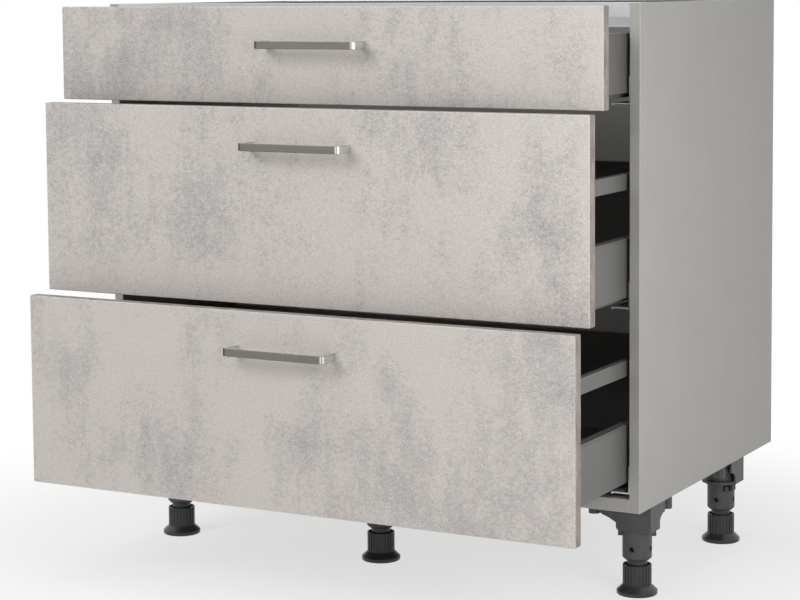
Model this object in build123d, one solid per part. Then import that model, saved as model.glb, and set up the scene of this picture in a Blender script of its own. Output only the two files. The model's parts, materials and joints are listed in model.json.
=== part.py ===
"""Kitchen base cabinet with one shallow and two deep drawers, on six levelling legs.

Millimetres. +X is to the right seen from the front, +Y runs back into the cabinet and +Z is up.
The origin is on the floor, below the middle of the carcass's front edge.
The drawers stand open by three different amounts, as they do at rest.
"""

import os
from dataclasses import dataclass

from build123d import *

# --- Carcass: melamine-faced board on a system of five equal grid steps of height
carcass_width = 900.0
carcass_height = 720.0
carcass_depth = 560.0
board = 16.0
bottom_board = 19.0
board_edge_radius = 1.2
leg_height = 146.0
grid_steps = 5
back_board = 3.0
back_inset = 16.0
groove_depth = 8.0

# --- Steel rails that tie the sides together at the top
rail_sheet = 1.2
rail_setback = 1.0
rail_return = 4.0
front_rail_height = 20.0
front_rail_depth = 90.0
front_rail_rear_flange = 12.0
rear_rail_height = 45.0
rear_rail_depth = 35.0
rail_tab_height = 18.0
worktop_hole_spacing = 500.0
worktop_hole_radius = 2.75
wall_hole_spacing = 760.0
wall_hole_radius = 3.0
wall_hole_drop = 25.0
wall_hole_board_radius = 4.0

# --- Fronts
front_thickness = 19.0
front_side_inset = 1.5
front_gap = 3.0
front_air = 2.0
front_edge_radius = 1.5

# --- How far each drawer stands open, and its runner's place
opened_top = 104.0
opened_middle = 150.0
opened_bottom = 197.0
runner_above_front_top = 4.0
runner_above_front_middle = 4.0
runner_above_board = 9.0

# --- Bow handles
handle_spacing = 160.0
handle_leg = 8.0
handle_bar = 6.0
handle_height = 11.0
handle_projection = 35.0
handle_drop = 55.0
handle_outer_radius = 8.0
handle_inner_radius = 3.5
handle_edge_radius = 0.7
handle_screw_radius = 2.0
handle_screw_bite = 11.0
handle_screw_head_radius = 4.2
handle_screw_head = 2.4
screw_clearance = 0.1

# --- Steel drawer sides: a hollow profile, open below over its runner
rear_clearance = 60.0
side_gap = 6.0
side_width = 14.0
side_sheet = 1.2
side_height = 84.0
side_lift = 14.0
side_lip_proud = 0.6
side_lip_height = 2.6
side_lip_radius = 1.0
side_groove_depth = 0.6
side_groove_width = 1.2
ledge_fold = 3.7
ledge_width = 12.0
ledge_drop = 2.5
ledge_sheet = 1.0

# --- Drawer base, rear wall and railings
drawer_base = 16.0
rear_wall = 16.0
rear_wall_height_shallow = 86.5
rear_wall_height_deep = 166.0
railing_width = 10.0
railing_height = 23.0
railing_lift = 68.0
railing_sheet = 1.2
railing_plug = 16.0
railing_edge_radius = 1.0
railing_foot_margin = 6.0
railing_foot = 2.0

# --- Brackets that plug the fronts into the drawer sides
bracket_foot = 3.0
bracket_tongue = 42.0
bracket_tongue_width = 4.0
bracket_height = 57.0
bracket_margin = 6.0
bracket_hole_radius = 4.0

# --- Full-extension runners, seen end-on: three nested bars for each side
runner_setback = 2.0
runner_rail_setback = 40.0
runner_sheet = 1.5
runner_flange = 28.0
runner_flange_lip = 3.0
runner_plate_height = 38.0
runner_web = 1.6
runner_head_width = 7.0
runner_head = 2.0
runner_neck = 16.0
runner_play = 0.3
runner_side_play = 0.3
runner_wall = 1.2
runner_lip = 2.0
runner_lip_sheet = 1.4
runner_short = 8.0
runner_drawer_short = 18.0
middle_neck = 5.0
hanger_sheet = 1.6
euro_screw_radius = 2.4
euro_screw_bite = 10.0
euro_screw_head_radius = 4.5
euro_screw_head = 1.8
euro_screw_first = 37.0
euro_screw_pitch = 224.0
euro_screw_count = 2
euro_screw_height = 27.0

# --- Carcass fasteners
dowel_radius = 4.0
dowel_length = 30.0
dowel_in_side = 10.0
dowel_inset = 35.0
cam_inset = 130.0
cam_radius = 7.5
cam_thickness = 13.5
cam_backset = 34.0
cam_pin_radius = 3.0
cam_pin_in_side = 9.0
rail_screw_radius = 1.9
rail_screw_bite = 13.0
rail_screw_head_radius = 3.8
rail_screw_head = 1.6

# --- Legs
leg_side_inset = 48.0
leg_front_inset = 108.0
leg_rear_inset = 102.0
middle_leg_shift = 28.0
socket_radius = 19.5
socket_wall = 2.5
socket_depth = 46.0
sleeve_radius = 21.7
sleeve_play = 0.2
sleeve_clearance = 0.3
sleeve_flange_radius = 30.5
sleeve_flange = 4.0
sleeve_lug_reach = 28.0
sleeve_lug_width = 7.0
sleeve_lug_height = 9.5
sleeve_lug_angle = 22.0
sleeve_spigot = 34.0
sleeve_chamfer = 3.5
sleeve_hole_radius = 4.0
sleeve_hole_rise = 17.5
latch_width = 15.0
latch_height = 9.4
latch_tongue = 6.5
latch_tongue_wall = 2.0
latch_gap = 2.6
latch_angle = 42.0
spindle_radius = 15.0
spindle_play = 0.3
spindle_engaged = 54.0
spindle_bared = 7.7
spindle_chamfer = 2.0
foot_radius = 30.0
foot_rim = 7.0
foot_rim_radius = 1.2
foot_flare = 7.0
collar_radius = 21.2
collar_height = 30.0
collar_groove_depth = 3.0
collar_groove_wall = 2.0
flute_count = 24
flute_width = 2.4
flute_depth = 1.0

# --- Plastic leg brackets
front_wall_offset = 22.0
side_wall_offset = 30.0
bracket_wall = 3.0
bracket_skirt = 49.5
bracket_plate = 3.0
arm_reach = 72.0
arm_width = 22.0
front_wall_reach = 48.5
front_wall_depth = 26.5
front_skirt_start = 17.5
hollow_reach = 21.5
hollow_depth = 37.0
web_setback = 0.8
web_depth = 32.5
web_step = 36.0
web_start = 25.0
web_lower = 38.5
web_foot = 45.5
side_wall_reach = 34.0
side_wall_depth = 28.0
side_skirt_end = 14.5
side_skirt_rise = 38.0
rib_depth = 29.0
boss_radius = 8.5
boss_depth = 30.0
boss_reach = 63.0
front_boss_offset = 12.0
side_boss_offset = 20.5
corner_boss_radius = 5.0
middle_plate_radius = 40.0
middle_screw_circle = 31.5
middle_rib_depth = 24.0
leg_screw_radius = 2.0
leg_screw_length = 16.0
leg_screw_bite = 12.0
leg_screw_head_radius = 3.6
leg_screw_head = 2.0

# --- Places that follow from the sizes above
carcass_bottom = leg_height
carcass_top = leg_height + carcass_height
half_width = carcass_width / 2
inner_face = half_width - board
back_front = carcass_depth - back_inset - back_board
grid = carcass_height / grid_steps
runner_length = carcass_depth - rear_clearance
front_half_width = half_width - front_side_inset
front_back = -front_air
side_inner = side_gap + side_width
base_half_width = inner_face - side_inner
base_bottom = side_lift - ledge_drop
base_top = base_bottom + drawer_base
side_top = side_lift + side_height
railing_bottom = side_top + railing_lift
railing_top = railing_bottom + railing_height
nest = side_gap + side_width / 2
head_bottom = runner_neck
head_top = head_bottom + runner_head
middle_bar_half = runner_head_width / 2 + runner_side_play + runner_wall
middle_plate_bottom = head_top + runner_play
middle_plate_top = middle_plate_bottom + runner_sheet
middle_head_bottom = middle_plate_top + middle_neck
middle_head_top = middle_head_bottom + runner_head
hanger_bottom = middle_head_top + runner_play
hanger_top = hanger_bottom + hanger_sheet
leg_x = half_width - leg_side_inset
leg_front_y = leg_front_inset
leg_rear_y = carcass_depth - leg_rear_inset
foot_height = foot_rim + foot_flare + collar_height
sleeve_bottom = foot_height + spindle_bared
sleeve_top = leg_height - socket_depth + sleeve_spigot
flange_top = leg_height - socket_depth
flange_bottom = flange_top - sleeve_flange
corner_boss_x = side_wall_offset - corner_boss_radius
corner_boss_y = front_wall_offset - corner_boss_radius


@dataclass
class Drawer:
    """One drawer: its place on the height grid, how far it stands open and whether it is deep."""

    name: str
    first_step: int
    steps: int
    opened: float
    runner_rise: float
    deep: bool

    @property
    def front_bottom(self):
        """Lower edge of the front."""
        return carcass_bottom + self.first_step * grid

    @property
    def front_top(self):
        """Upper edge of the front, one gap below the next grid line."""
        return self.front_bottom + self.steps * grid - front_gap

    @property
    def runner(self):
        """Height of the cabinet runner's flange."""
        return self.front_bottom + self.runner_rise

    @property
    def handle_middle(self):
        """Height of the handle's middle."""
        return self.front_top - handle_drop


drawers = [
    Drawer("bottom", 0, 2, opened_bottom, bottom_board + runner_above_board, True),
    Drawer("middle", 2, 2, opened_middle, runner_above_front_middle, True),
    Drawer("top", 4, grid_steps - 4, opened_top, runner_above_front_top, False),
]


# --- Helpers
def block(x_range, y_range, z_range):
    """Box between a low and a high value on each axis."""
    ranges = (x_range, y_range, z_range)
    middle = [(low + high) / 2 for low, high in ranges]
    return Pos(*middle) * Box(*(high - low for low, high in ranges))


def rod(start, direction, radius, length):
    """Cylinder from a start point along a direction."""
    base = Align.CENTER, Align.CENTER, Align.MIN
    return Plane(origin=start, z_dir=direction) * Cylinder(radius, length, align=base)


def mirrored(shape):
    """The same piece on the cabinet's left side."""
    return mirror(shape, about=Plane.YZ)


def both_sides(shape):
    """A piece and its mirror image, as separate solids."""
    return Compound(children=[*shape.solids(), *mirrored(shape).solids()])


def group(shapes):
    """Separate solids kept together in one node."""
    return Compound(children=[solid for shape in shapes for solid in shape.solids()])


def save(node, shape):
    """Write one node."""
    export_step(shape, f"parts/{node}.step")


def strip(inward, upward):
    """Rectangle in a runner's section: distances in from the side board and up from its flange."""
    middle = (sum(inward) / 2, sum(upward) / 2)
    return Pos(*middle) * Rectangle(inward[1] - inward[0], upward[1] - upward[0])


def along_runner(section, drawer, front, rear):
    """Extrude a section from front to rear beside the right-hand side board."""
    plane = Plane(origin=(inner_face, front, drawer.runner), x_dir=(-1, 0, 0), z_dir=(0, 1, 0))
    return extrude(plane * section, amount=rear - front, dir=(0, 1, 0))


# --- Carcass
def euro_screw_places(drawer):
    """Where the runner's screws enter the right-hand side board."""
    height = drawer.runner + euro_screw_height
    return [
        (inner_face, euro_screw_first + index * euro_screw_pitch, height)
        for index in range(euro_screw_count)
    ]


def rail_screw_places():
    """Where the two rails' end tabs are screwed to the right-hand side board."""
    height = carcass_top - rail_sheet - rail_tab_height / 2
    front = rail_setback + front_rail_depth
    rear = back_front - rear_rail_depth
    inset = rear_rail_depth / 4
    return [
        (inner_face, rail_setback + front_rail_depth / 4, height),
        (inner_face, front - front_rail_depth / 4, height),
        (inner_face, rear + inset, height),
        (inner_face, back_front - inset, height),
    ]


def dowel_places():
    """Middle of each dowel between the bottom board and the right-hand side board."""
    height = carcass_bottom + bottom_board / 2
    return [(inner_face, y, height) for y in (dowel_inset, back_front - dowel_inset)]


def cam_places():
    """Where each cam fitting's pin crosses into the right-hand side board."""
    height = carcass_bottom + bottom_board / 2
    return [(inner_face, y, height) for y in (cam_inset, back_front - cam_inset)]


def side_panel():
    """Right-hand side board with its back groove and fastener holes."""
    panel = block(
        (inner_face, half_width), (0, carcass_depth), (carcass_bottom, carcass_top)
    )
    panel = fillet(panel.faces().sort_by(Axis.Y)[0].edges(), board_edge_radius)
    panel -= block(
        (inner_face, inner_face + groove_depth),
        (back_front, back_front + back_board),
        (carcass_bottom, carcass_top),
    )
    holes = [
        rod(place, (1, 0, 0), euro_screw_radius + screw_clearance, euro_screw_bite + screw_clearance)
        for drawer in drawers
        for place in euro_screw_places(drawer)
    ]
    holes += [
        rod(place, (1, 0, 0), rail_screw_radius + screw_clearance, rail_screw_bite)
        for place in rail_screw_places()
    ]
    holes += [
        rod(place, (1, 0, 0), dowel_radius + screw_clearance, dowel_in_side + screw_clearance)
        for place in dowel_places()
    ]
    holes += [
        rod(place, (1, 0, 0), cam_pin_radius + screw_clearance, cam_pin_in_side + screw_clearance)
        for place in cam_places()
    ]
    return panel - holes


def leg_places():
    """Each leg's name and the place of its axis."""
    return {
        "front_right": (leg_x, leg_front_y),
        "front_left": (-leg_x, leg_front_y),
        "rear_right": (leg_x, leg_rear_y),
        "rear_left": (-leg_x, leg_rear_y),
        "front_middle": (-middle_leg_shift, leg_front_y),
        "rear_middle": (-middle_leg_shift, leg_rear_y),
    }


def leg_turn(name):
    """Signs that turn the front-right bracket into the named one."""
    return (-1 if name.endswith("left") else 1, -1 if name.startswith("rear") else 1)


def leg_screw_offsets(name):
    """Screw places of one leg bracket, measured from the leg's axis."""
    if name.endswith("middle"):
        reach = middle_screw_circle / 2**0.5
        return [(x, y) for x in (-reach, reach) for y in (-reach, reach)]
    turn_x, turn_y = leg_turn(name)
    corner = [
        (-boss_reach, -front_boss_offset),
        (side_boss_offset, boss_reach),
        (corner_boss_x, -corner_boss_y),
    ]
    return [(turn_x * x, turn_y * y) for x, y in corner]


def leg_screw_places():
    """Where every leg bracket's screws enter the bottom board."""
    return [
        (place[0] + x, place[1] + y)
        for name, place in leg_places().items()
        for x, y in leg_screw_offsets(name)
    ]


def bottom_panel():
    """Bottom board with holes for the dowels, the cam fittings and the leg screws."""
    panel = block(
        (-inner_face, inner_face), (0, back_front), (carcass_bottom, carcass_bottom + bottom_board)
    )
    panel = fillet(panel.faces().sort_by(Axis.Y)[0].edges(), board_edge_radius)
    holes = []
    for place in dowel_places():
        in_board = dowel_length - dowel_in_side + screw_clearance
        holes.append(rod(place, (-1, 0, 0), dowel_radius + screw_clearance, in_board))
    for place in cam_places():
        holes.append(rod(place, (-1, 0, 0), cam_pin_radius + screw_clearance, cam_backset))
        under = (inner_face - cam_backset, place[1], carcass_bottom)
        depth = cam_thickness + screw_clearance
        holes.append(rod(under, (0, 0, 1), cam_radius + screw_clearance, depth))
    for hole in holes[:]:
        holes.append(mirrored(hole))
    for x, y in leg_screw_places():
        start = (x, y, carcass_bottom)
        depth = leg_screw_bite + screw_clearance
        holes.append(rod(start, (0, 0, 1), leg_screw_radius + screw_clearance, depth))
    return panel - holes


def back_panel():
    """Thin back board in the side boards' grooves, drilled for the wall screws."""
    reach = inner_face + groove_depth
    panel = block(
        (-reach, reach), (back_front, back_front + back_board), (carcass_bottom, carcass_top)
    )
    return panel - wall_holes(back_front, back_board, wall_hole_board_radius)


def wall_holes(start, depth, radius):
    """Cutters for the two wall screws."""
    height = carcass_top - wall_hole_drop
    return [
        rod((side * wall_hole_spacing / 2, start, height), (0, 1, 0), radius, depth)
        for side in (-1, 1)
    ]


def rail_tab(front, rear):
    """Right-hand end tab of a rail, bent down against the side board."""
    return block(
        (inner_face - rail_sheet, inner_face),
        (front, rear),
        (carcass_top - rail_sheet - rail_tab_height, carcass_top),
    )


def tab_holes():
    """Cutters for the screws through both ends' tabs."""
    cutters = [
        rod((inner_face - rail_sheet, y, z), (1, 0, 0), rail_screw_radius + screw_clearance, rail_sheet)
        for _, y, z in rail_screw_places()
    ]
    return cutters + [mirrored(cutter) for cutter in cutters]


def front_rail():
    """Folded steel rail behind the top front: face, top flange, rear flange and end tabs."""
    front = rail_setback
    rear = front + front_rail_depth
    lower = carcass_top - front_rail_height
    span = (-inner_face, inner_face)
    rail = block(span, (front, rear), (carcass_top - rail_sheet, carcass_top))
    rail += block(span, (front, front + rail_sheet), (lower, carcass_top))
    rail += block(span, (front, front + rail_return), (lower, lower + rail_sheet))
    rail += block(span, (rear - rail_sheet, rear), (carcass_top - front_rail_rear_flange, carcass_top))
    tab = rail_tab(front, rear)
    rail += [tab, mirrored(tab)]
    worktop = [
        rod(
            (side * worktop_hole_spacing / 2, (front + rear) / 2, carcass_top - rail_sheet),
            (0, 0, 1),
            worktop_hole_radius,
            rail_sheet,
        )
        for side in (-1, 1)
    ]
    return rail - worktop - tab_holes()


def rear_rail():
    """Folded steel rail at the back: upright face with a lower return, top flange and end tabs."""
    front = back_front - rear_rail_depth
    lower = carcass_top - rear_rail_height
    span = (-inner_face, inner_face)
    rail = block(span, (front, back_front), (carcass_top - rail_sheet, carcass_top))
    rail += block(span, (back_front - rail_sheet, back_front), (lower, carcass_top))
    rail += block(span, (back_front - rail_return, back_front), (lower, lower + rail_sheet))
    tab = rail_tab(front, back_front)
    rail += [tab, mirrored(tab)]
    worktop = [
        rod(
            (side * worktop_hole_spacing / 2, (front + back_front) / 2, carcass_top - rail_sheet),
            (0, 0, 1),
            worktop_hole_radius,
            rail_sheet,
        )
        for side in (-1, 1)
    ]
    face_holes = wall_holes(back_front - rail_sheet, rail_sheet, wall_hole_radius)
    return rail - worktop - face_holes - tab_holes()


def dowels():
    """Wooden dowels between the bottom board and the side boards."""
    pieces = [
        rod((x + dowel_in_side, y, z), (-1, 0, 0), dowel_radius, dowel_length)
        for x, y, z in dowel_places()
    ]
    return both_sides(group(pieces))


def cam_fittings():
    """Cam fittings that pull the bottom board against the side boards."""
    pieces = []
    for x, y, z in cam_places():
        cam_x = x - cam_backset
        cam = rod((cam_x, y, carcass_bottom), (0, 0, 1), cam_radius, cam_thickness)
        pin_length = cam_backset - cam_radius + cam_pin_in_side
        pin = rod((x + cam_pin_in_side, y, z), (-1, 0, 0), cam_pin_radius, pin_length)
        pieces += [cam, pin]
    return both_sides(group(pieces))


def rail_screws():
    """Flat-headed screws through the rails' end tabs."""
    pieces = []
    for x, y, z in rail_screw_places():
        start = x - rail_sheet
        shank = rod((start, y, z), (1, 0, 0), rail_screw_radius, rail_screw_bite)
        head = rod((start - rail_screw_head, y, z), (1, 0, 0), rail_screw_head_radius, rail_screw_head)
        pieces.append(shank + head)
    return both_sides(group(pieces))


# --- Legs
def upright_wall(edges, plane, inward):
    """Extrude a bracket wall's outline from its outer face inwards."""
    return extrude(plane * make_face(edges), amount=bracket_wall, dir=inward)


def front_wall():
    """Front wall of a corner bracket: a skirt that sweeps up in a hollow curve to the arm."""
    start = (-front_wall_reach, -front_wall_depth)
    end = (-front_skirt_start, -bracket_skirt)
    outline = Polyline(
        end,
        (side_wall_offset, -bracket_skirt),
        (side_wall_offset, 0),
        (-front_wall_reach, 0),
        start,
    )
    hollow = ThreePointArc(start, (-hollow_reach, -hollow_depth), end)
    plane = Plane(origin=(0, -front_wall_offset, 0), x_dir=(1, 0, 0), z_dir=(0, -1, 0))
    return upright_wall([*outline.edges(), *hollow.edges()], plane, (0, 1, 0))


def front_web():
    """Stepped web just behind the front wall."""
    outline = Polyline(
        (0, 0),
        (-front_wall_reach, 0),
        (-front_wall_reach, -front_wall_depth - bracket_wall / 2),
        (-web_step, -web_depth),
        (-web_start, -web_lower),
        (-web_start, -web_foot),
        (bracket_skirt - web_foot - web_start, -bracket_skirt),
        (0, -bracket_skirt),
        close=True,
    )
    outer = web_setback - front_wall_offset
    plane = Plane(origin=(0, outer, 0), x_dir=(1, 0, 0), z_dir=(0, -1, 0))
    return upright_wall(outline.edges(), plane, (0, 1, 0))


def side_wall():
    """Side wall of a corner bracket: a shorter skirt and a hollow curve up to the arm."""
    start = (side_wall_reach, -side_wall_depth)
    end = (side_skirt_end, -side_skirt_rise)
    outline = Polyline(
        end,
        (side_skirt_end, -bracket_skirt),
        (-front_wall_offset, -bracket_skirt),
        (-front_wall_offset, 0),
        (side_wall_reach, 0),
        start,
    )
    middle = ((2 * end[0] + start[0]) / 3, (end[1] + 2 * start[1]) / 3)
    hollow = ThreePointArc(start, middle, end)
    plane = Plane(origin=(side_wall_offset, 0, 0), x_dir=(0, 1, 0), z_dir=(1, 0, 0))
    return upright_wall([*outline.edges(), *hollow.edges()], plane, (-1, 0, 0))


def corner_bracket():
    """Front-right leg bracket, with the leg's axis and the carcass's underside as its origin."""
    front_inner = arm_width - front_wall_offset
    side_inner_edge = side_wall_offset - arm_width
    web = socket_radius + socket_wall
    cut = web * 2**0.5
    outline = Polyline(
        (-arm_reach, -front_wall_offset),
        (side_wall_offset, -front_wall_offset),
        (side_wall_offset, arm_reach),
        (side_inner_edge, arm_reach),
        (side_inner_edge, cut + side_inner_edge),
        (-cut - front_inner, front_inner),
        (-arm_reach, front_inner),
        close=True,
    )
    bracket = extrude(make_face(outline), amount=-bracket_plate)
    bracket += [front_wall(), front_web(), side_wall()]
    bracket += block(
        (-boss_reach, 0),
        (-front_boss_offset - bracket_wall / 2, -front_boss_offset + bracket_wall / 2),
        (-rib_depth, 0),
    )
    bracket += block(
        (side_boss_offset - bracket_wall / 2, side_boss_offset + bracket_wall / 2),
        (0, boss_reach),
        (-rib_depth, 0),
    )
    front_boss = (-boss_reach, -front_boss_offset, -boss_depth)
    side_boss = (side_boss_offset, boss_reach, -boss_depth)
    corner = (corner_boss_x, -corner_boss_y, -socket_depth)
    bracket += rod(front_boss, (0, 0, 1), boss_radius, boss_depth)
    bracket += rod(side_boss, (0, 0, 1), boss_radius, boss_depth)
    bracket += rod(corner, (0, 0, 1), corner_boss_radius, socket_depth)
    bracket += rod((0, 0, -socket_depth), (0, 0, 1), web, socket_depth)
    bracket -= rod((0, 0, -bracket_skirt), (0, 0, 1), socket_radius, bracket_skirt)
    return bracket - screw_bores("front_right", boss_depth, socket_depth)


def screw_bores(name, depth, corner_depth):
    """Cutters for one bracket's screws, each with a counterbore up to its head."""
    cutters = []
    grip = leg_screw_length - leg_screw_bite
    for x, y in leg_screw_offsets(name):
        whole = max(depth, corner_depth)
        radius = leg_screw_radius + screw_clearance
        cutters.append(rod((x, y, -whole), (0, 0, 1), radius, whole))
        head_radius = leg_screw_head_radius + screw_clearance
        cutters.append(rod((x, y, -whole), (0, 0, 1), head_radius, whole - grip))
    return cutters


def middle_bracket():
    """Round leg bracket for the middle of the bottom board, on its own origin."""
    web = socket_radius + socket_wall
    bracket = rod((0, 0, -bracket_plate), (0, 0, 1), middle_plate_radius, bracket_plate)
    bracket += rod((0, 0, -socket_depth), (0, 0, 1), web, socket_depth)
    ribs = [
        Rot(0, 0, quarter * 90)
        * block((0, middle_plate_radius - 2), (-bracket_wall / 2, bracket_wall / 2), (-middle_rib_depth, 0))
        for quarter in range(4)
    ]
    bracket += ribs
    bracket -= rod((0, 0, -socket_depth), (0, 0, 1), socket_radius, socket_depth)
    grip = leg_screw_length - leg_screw_bite
    pads = [
        rod((x, y, -grip), (0, 0, 1), corner_boss_radius, grip)
        for x, y in leg_screw_offsets("front_middle")
    ]
    bracket += pads
    return bracket - screw_bores("front_middle", middle_rib_depth, middle_rib_depth)


def leg_bracket(name):
    """The named corner bracket in its place."""
    x, y = leg_places()[name]
    return Pos(x, y, carcass_bottom) * turned(corner_bracket(), name)


def turned(shape, name):
    """Mirror a shape made for the front-right leg to the named leg, round the leg's axis."""
    turn_x, turn_y = leg_turn(name)
    if turn_x < 0:
        shape = mirror(shape, about=Plane.YZ)
    if turn_y < 0:
        shape = mirror(shape, about=Plane.XZ)
    return shape


def sleeve_flange_plate(name):
    """Flange of a sleeve, cut flat along the walls of a corner bracket."""
    plate = rod((0, 0, flange_bottom), (0, 0, 1), sleeve_flange_radius, sleeve_flange)
    if name.endswith("middle"):
        return plate
    reach = 2 * sleeve_flange_radius
    side = side_wall_offset - bracket_wall - sleeve_clearance
    front = front_wall_offset - web_setback - bracket_wall - sleeve_clearance
    return plate & turned(block((-reach, side), (-front, reach), (flange_bottom, flange_top)), name)


def sleeve(name):
    """Plastic sleeve that plugs into a bracket and guides the foot's spindle."""
    x, y = leg_places()[name]
    shell = rod((0, 0, sleeve_bottom), (0, 0, 1), sleeve_radius, flange_bottom - sleeve_bottom)
    shell = chamfer(shell.edges().group_by(Axis.Z)[0], sleeve_chamfer)
    lug = block(
        (spindle_radius + spindle_play, sleeve_lug_reach),
        (-sleeve_lug_width / 2, sleeve_lug_width / 2),
        (flange_bottom - sleeve_lug_height, flange_bottom),
    )
    shell += [turned(Rot(0, 0, angle) * lug, name) for angle in (sleeve_lug_angle, sleeve_lug_angle + 180)]
    shell += sleeve_flange_plate(name)
    shell += rod((0, 0, flange_top), (0, 0, 1), socket_radius - sleeve_play, sleeve_spigot)
    bore = spindle_radius + spindle_play
    shell -= rod((0, 0, sleeve_bottom), (0, 0, 1), bore, sleeve_top - sleeve_bottom)
    hole_z = sleeve_bottom + sleeve_hole_rise
    reach = 2 * sleeve_radius
    shell -= rod((-sleeve_radius, 0, hole_z), (1, 0, 0), sleeve_hole_radius, reach)
    shell -= rod((0, -sleeve_radius, hole_z), (0, 1, 0), sleeve_hole_radius, reach)
    latch_top = flange_bottom - latch_gap
    window = block(
        (spindle_radius, sleeve_radius + 1),
        (-latch_width / 2, latch_width / 2),
        (latch_top - latch_height, latch_top),
    )
    tongue = block(
        (sleeve_radius - 2 * latch_tongue_wall, sleeve_radius - latch_tongue_wall),
        (-latch_tongue / 2, latch_tongue / 2),
        (latch_top - latch_height, latch_top - latch_height + latch_tongue),
    )
    shell -= turned(Rot(0, 0, latch_angle) * window, name)
    shell += turned(Rot(0, 0, latch_angle) * tongue, name)
    return Pos(x, y, 0) * shell


def foot(name):
    """Adjustable foot: flared base, fluted collar and spindle in one moulding."""
    x, y = leg_places()[name]
    flare_top = foot_rim + foot_flare
    top = sleeve_bottom + spindle_engaged
    groove_bottom = foot_height - collar_groove_depth
    profile = Polyline(
        (collar_radius, flare_top),
        (collar_radius, foot_height),
        (collar_radius - collar_groove_wall, foot_height),
        (collar_radius - collar_groove_wall, groove_bottom),
        (spindle_radius, groove_bottom),
        (spindle_radius, top - spindle_chamfer),
        (spindle_radius - spindle_chamfer, top),
        (0, top),
        (0, 0),
        (foot_radius - foot_rim_radius, 0),
        (foot_radius, foot_rim_radius),
        (foot_radius, foot_rim - foot_rim_radius),
        (foot_radius - foot_rim_radius, foot_rim),
        close=True,
    )
    body = revolve(Plane.XZ * make_face(profile), axis=Axis.Z)
    flute = block(
        (collar_radius - flute_depth, collar_radius + flute_depth),
        (-flute_width / 2, flute_width / 2),
        (flare_top, foot_height),
    )
    flutes = [Rot(0, 0, index * 360 / flute_count) * flute for index in range(flute_count)]
    return Pos(x, y, 0) * (body - flutes)


def leg_screws():
    """Screws that hold the leg brackets under the bottom board."""
    pieces = []
    grip = leg_screw_length - leg_screw_bite
    for x, y in leg_screw_places():
        start = carcass_bottom - grip
        shank = rod((x, y, start), (0, 0, 1), leg_screw_radius, leg_screw_length)
        head = rod((x, y, start - leg_screw_head), (0, 0, 1), leg_screw_head_radius, leg_screw_head)
        pieces.append(shank + head)
    return group(pieces)


# --- Runners
def cabinet_runner(drawer):
    """Fixed runners: an angle on each side board with a T-shaped rail on its flange."""
    section = strip((0, runner_sheet), (-runner_sheet, runner_plate_height))
    section += strip((0, runner_flange), (-runner_sheet, 0))
    section += strip((runner_flange - runner_sheet, runner_flange), (-runner_flange_lip, 0))
    bar = along_runner(section, drawer, runner_setback, runner_length)
    half_head = runner_head_width / 2
    rail = strip((nest - runner_web / 2, nest + runner_web / 2), (0, head_bottom))
    rail += strip((nest - half_head, nest + half_head), (head_bottom, head_top))
    bar += along_runner(rail, drawer, runner_rail_setback, runner_length)
    holes = [
        rod((x - runner_sheet, y, z), (1, 0, 0), euro_screw_radius + screw_clearance, runner_sheet)
        for x, y, z in euro_screw_places(drawer)
    ]
    return both_sides(bar - holes)


def runner_cup(plate_bottom, plate_top, lip_bottom):
    """Section of a bar that hooks over the head of the bar below it."""
    outer = middle_bar_half
    inner = outer - runner_wall
    section = strip((nest - outer, nest + outer), (plate_bottom, plate_top))
    for side in (-1, 1):
        wall = sorted((nest + side * inner, nest + side * outer))
        lip = sorted((nest + side * (inner - runner_lip), nest + side * outer))
        section += strip(wall, (lip_bottom, plate_bottom))
        section += strip(lip, (lip_bottom, lip_bottom + runner_lip_sheet))
    return section


def middle_runner(drawer):
    """Middle runners: they hook over the cabinet runners and carry a head for the drawer."""
    lip_bottom = head_bottom - runner_play - runner_lip_sheet
    section = runner_cup(middle_plate_bottom, middle_plate_top, lip_bottom)
    half_web = runner_web / 2
    half_head = runner_head_width / 2
    section += strip((nest - half_web, nest + half_web), (middle_plate_top, middle_head_bottom))
    section += strip((nest - half_head, nest + half_head), (middle_head_bottom, middle_head_top))
    shift = drawer.opened / 2
    front = runner_setback + runner_short - shift
    return both_sides(along_runner(section, drawer, front, front + runner_length - 2 * runner_short))


def drawer_runner(drawer):
    """Drawer runners: they hook over the middle runners inside the hollow drawer sides."""
    lip_bottom = middle_head_bottom - runner_play - runner_lip_sheet
    section = runner_cup(hanger_bottom, hanger_top, lip_bottom)
    room = (side_gap + side_sheet, side_inner - side_sheet)
    section += strip(room, (hanger_bottom, hanger_top))
    front = runner_setback - drawer.opened
    return both_sides(along_runner(section, drawer, front, front + runner_length - runner_drawer_short))


def runner_screws():
    """Screws that hold the cabinet runners in the side boards' rows of holes."""
    pieces = []
    for drawer in drawers:
        for x, y, z in euro_screw_places(drawer):
            start = x - runner_sheet
            shank = rod((start, y, z), (1, 0, 0), euro_screw_radius, euro_screw_bite + runner_sheet)
            head = rod((start - euro_screw_head, y, z), (1, 0, 0), euro_screw_head_radius, euro_screw_head)
            pieces.append(shank + head)
    return both_sides(group(pieces))


# --- Drawers
def handle_screw_places(drawer):
    """Where the handle's two screws pass the back of the front."""
    back = front_back - drawer.opened
    return [(side * handle_spacing / 2, back, drawer.handle_middle) for side in (-1, 1)]


def drawer_front(drawer):
    """Front board with softened edges and the handle's screw holes."""
    back = front_back - drawer.opened
    panel = block(
        (-front_half_width, front_half_width),
        (back - front_thickness, back),
        (drawer.front_bottom, drawer.front_top),
    )
    panel = fillet(panel.edges(), front_edge_radius)
    holes = [
        rod(place, (0, -1, 0), handle_screw_radius + screw_clearance, front_thickness)
        for place in handle_screw_places(drawer)
    ]
    return panel - holes


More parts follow.
